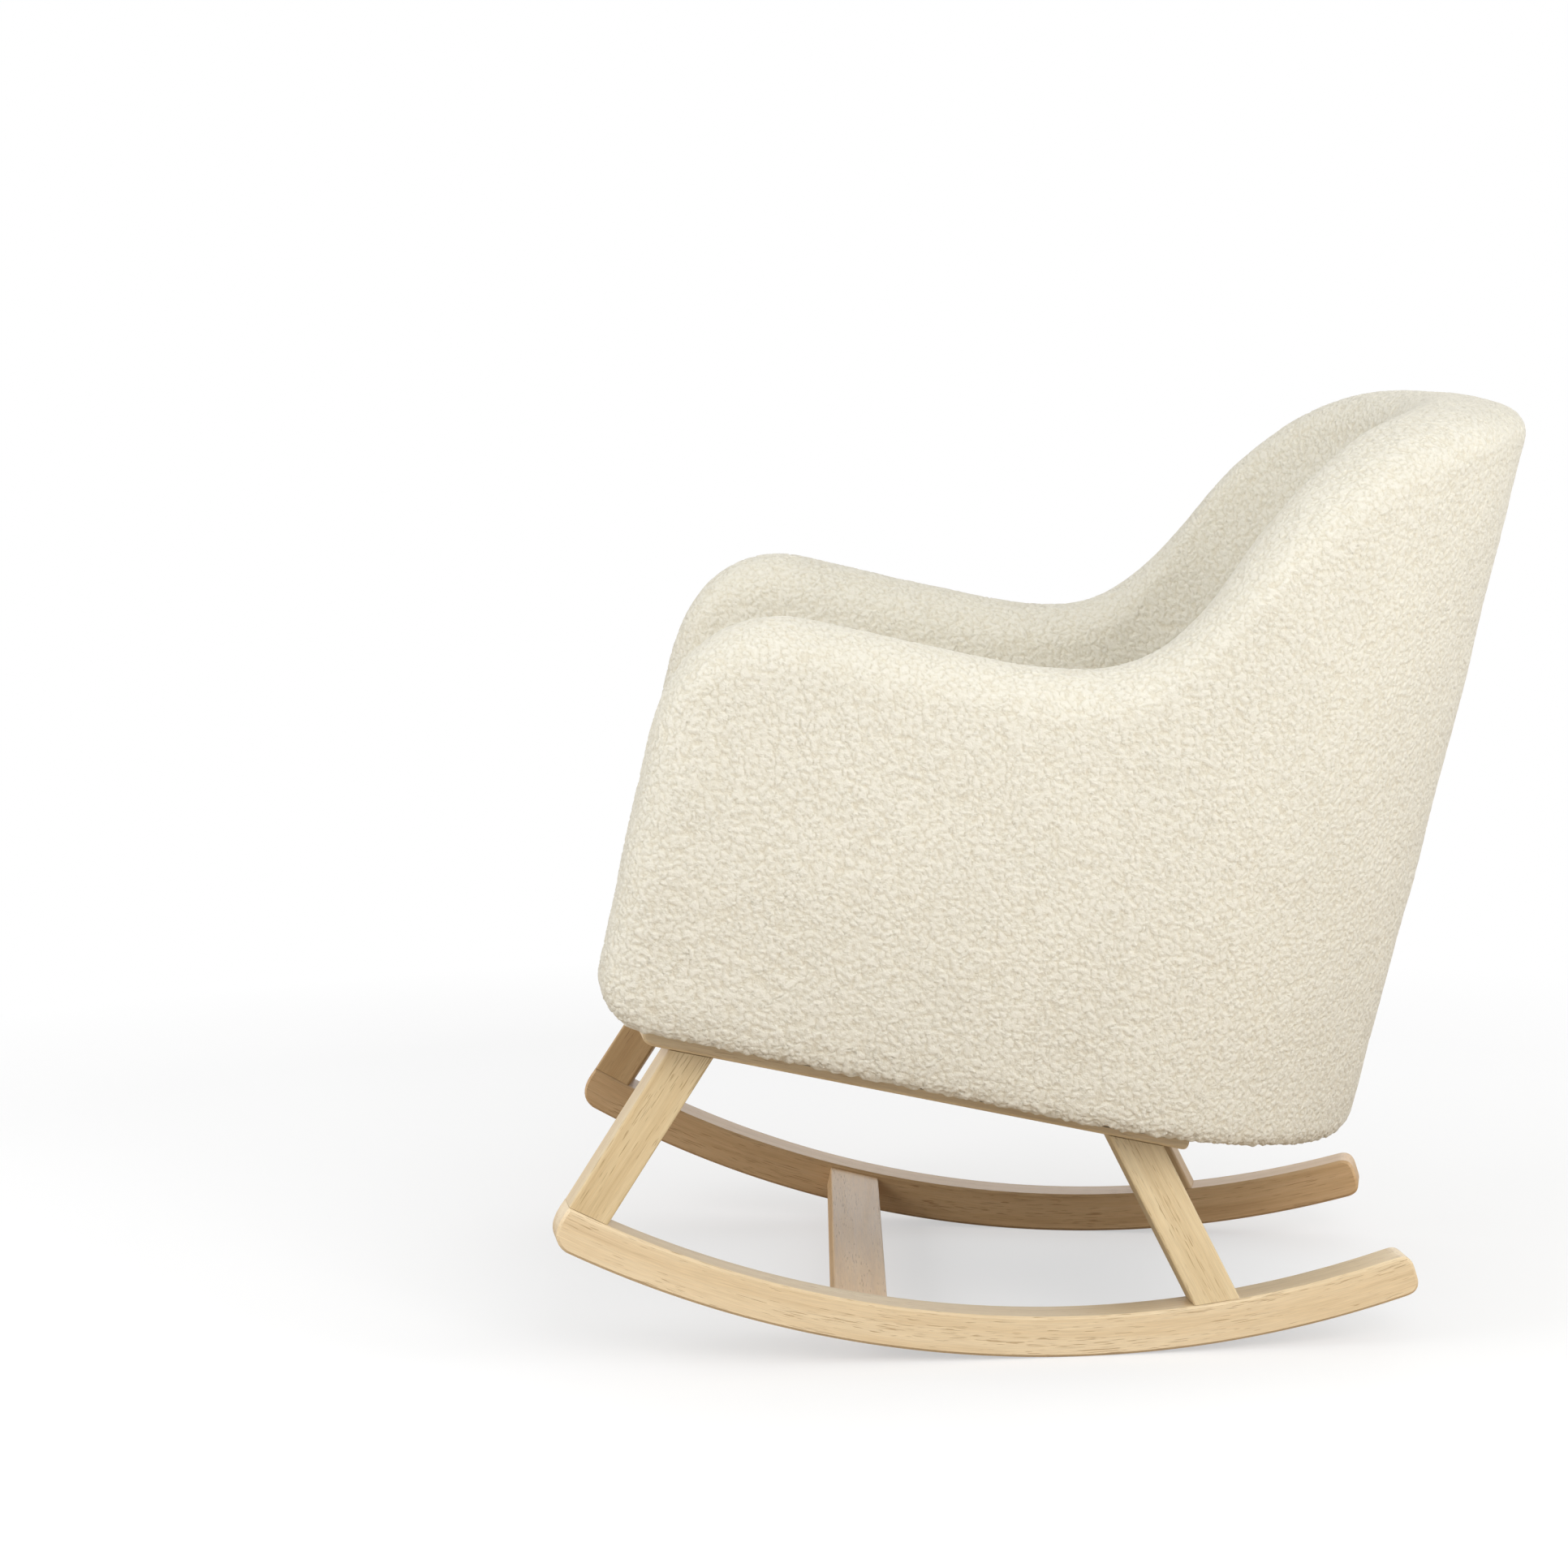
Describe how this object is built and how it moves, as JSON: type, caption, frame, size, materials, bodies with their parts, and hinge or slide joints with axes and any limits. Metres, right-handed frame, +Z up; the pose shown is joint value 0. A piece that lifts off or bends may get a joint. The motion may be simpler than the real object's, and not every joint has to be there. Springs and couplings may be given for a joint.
{
  "type": "nursery rocking chair",
  "caption": "Upholstered tub armchair in curly pile fabric with a loose seat cushion, on a wooden rocking base with curved runners.",
  "frame": {"origin": "middle of the box's bottom face, on the floor under the chair", "axes": "+Z up, -Y is the way the sitter faces, +X is the sitter's left"},
  "size_m": [0.7888, 0.9086, 0.8704],
  "materials": {
    "oak": "light natural timber, satin lacquer",
    "dowel": "plain beech dowel",
    "plywood": "raw plywood",
    "steel": "zinc-plated fixings",
    "spring_steel": "drawn spring wire and pressed clips",
    "pile": "cream curly looped pile",
    "deck": "felt deck pad",
    "dust_cloth": "black non-woven cloth",
    "zip": "woven nylon coil zip, matching the fabric"
  },
  "bodies": {
    "chair": {"runner_left": "oak", "runner_right": "oak", "front_leg_left": "oak", "front_leg_right": "oak", "rear_leg_left": "oak", "rear_leg_right": "oak", "top_rail_left": "oak", "top_rail_right": "oak", "stretcher": "oak", "front_leg_foot_dowel_left": "dowel", "front_leg_foot_dowel_right": "dowel", "front_leg_head_dowel_left": "dowel", "front_leg_head_dowel_right": "dowel", "rear_leg_foot_dowel_left": "dowel", "rear_leg_foot_dowel_right": "dowel", "rear_leg_head_dowel_left": "dowel", "rear_leg_head_dowel_right": "dowel", "stretcher_dowel_left_1": "dowel", "stretcher_dowel_left_2": "dowel", "stretcher_dowel_right_1": "dowel", "stretcher_dowel_right_2": "dowel", "front_seat_board": "plywood", "rear_seat_board": "plywood", "side_panel_left": "plywood", "side_panel_right": "plywood", "back_panel": "plywood", "bolt_front_left": "steel", "bolt_front_right": "steel", "bolt_rear_left": "steel", "bolt_rear_right": "steel", "washer_front_left": "steel", "washer_front_right": "steel", "washer_rear_left": "steel", "washer_rear_right": "steel", "tee_nut_front_left": "steel", "tee_nut_front_right": "steel", "tee_nut_rear_left": "steel", "tee_nut_rear_right": "steel", "seat_spring_1": "spring_steel", "seat_spring_2": "spring_steel", "seat_spring_3": "spring_steel", "seat_spring_4": "spring_steel", "spring_clip_front_1": "spring_steel", "spring_clip_front_2": "spring_steel", "spring_clip_front_3": "spring_steel", "spring_clip_front_4": "spring_steel", "spring_clip_rear_1": "spring_steel", "spring_clip_rear_2": "spring_steel", "spring_clip_rear_3": "spring_steel", "spring_clip_rear_4": "spring_steel", "tub_cover": "pile", "front_border": "pile", "deck_pad": "deck", "dust_cover": "dust_cloth"},
    "cushion": {"seat_cushion": "pile", "cushion_zip": "zip"}
  },
  "joints": [
    {"name": "cushion_lift", "type": "slide", "parent": "chair", "child": "cushion", "axis": [0, 0.2215, 0.9751], "range_m": [0, 0.65]}
  ]
}
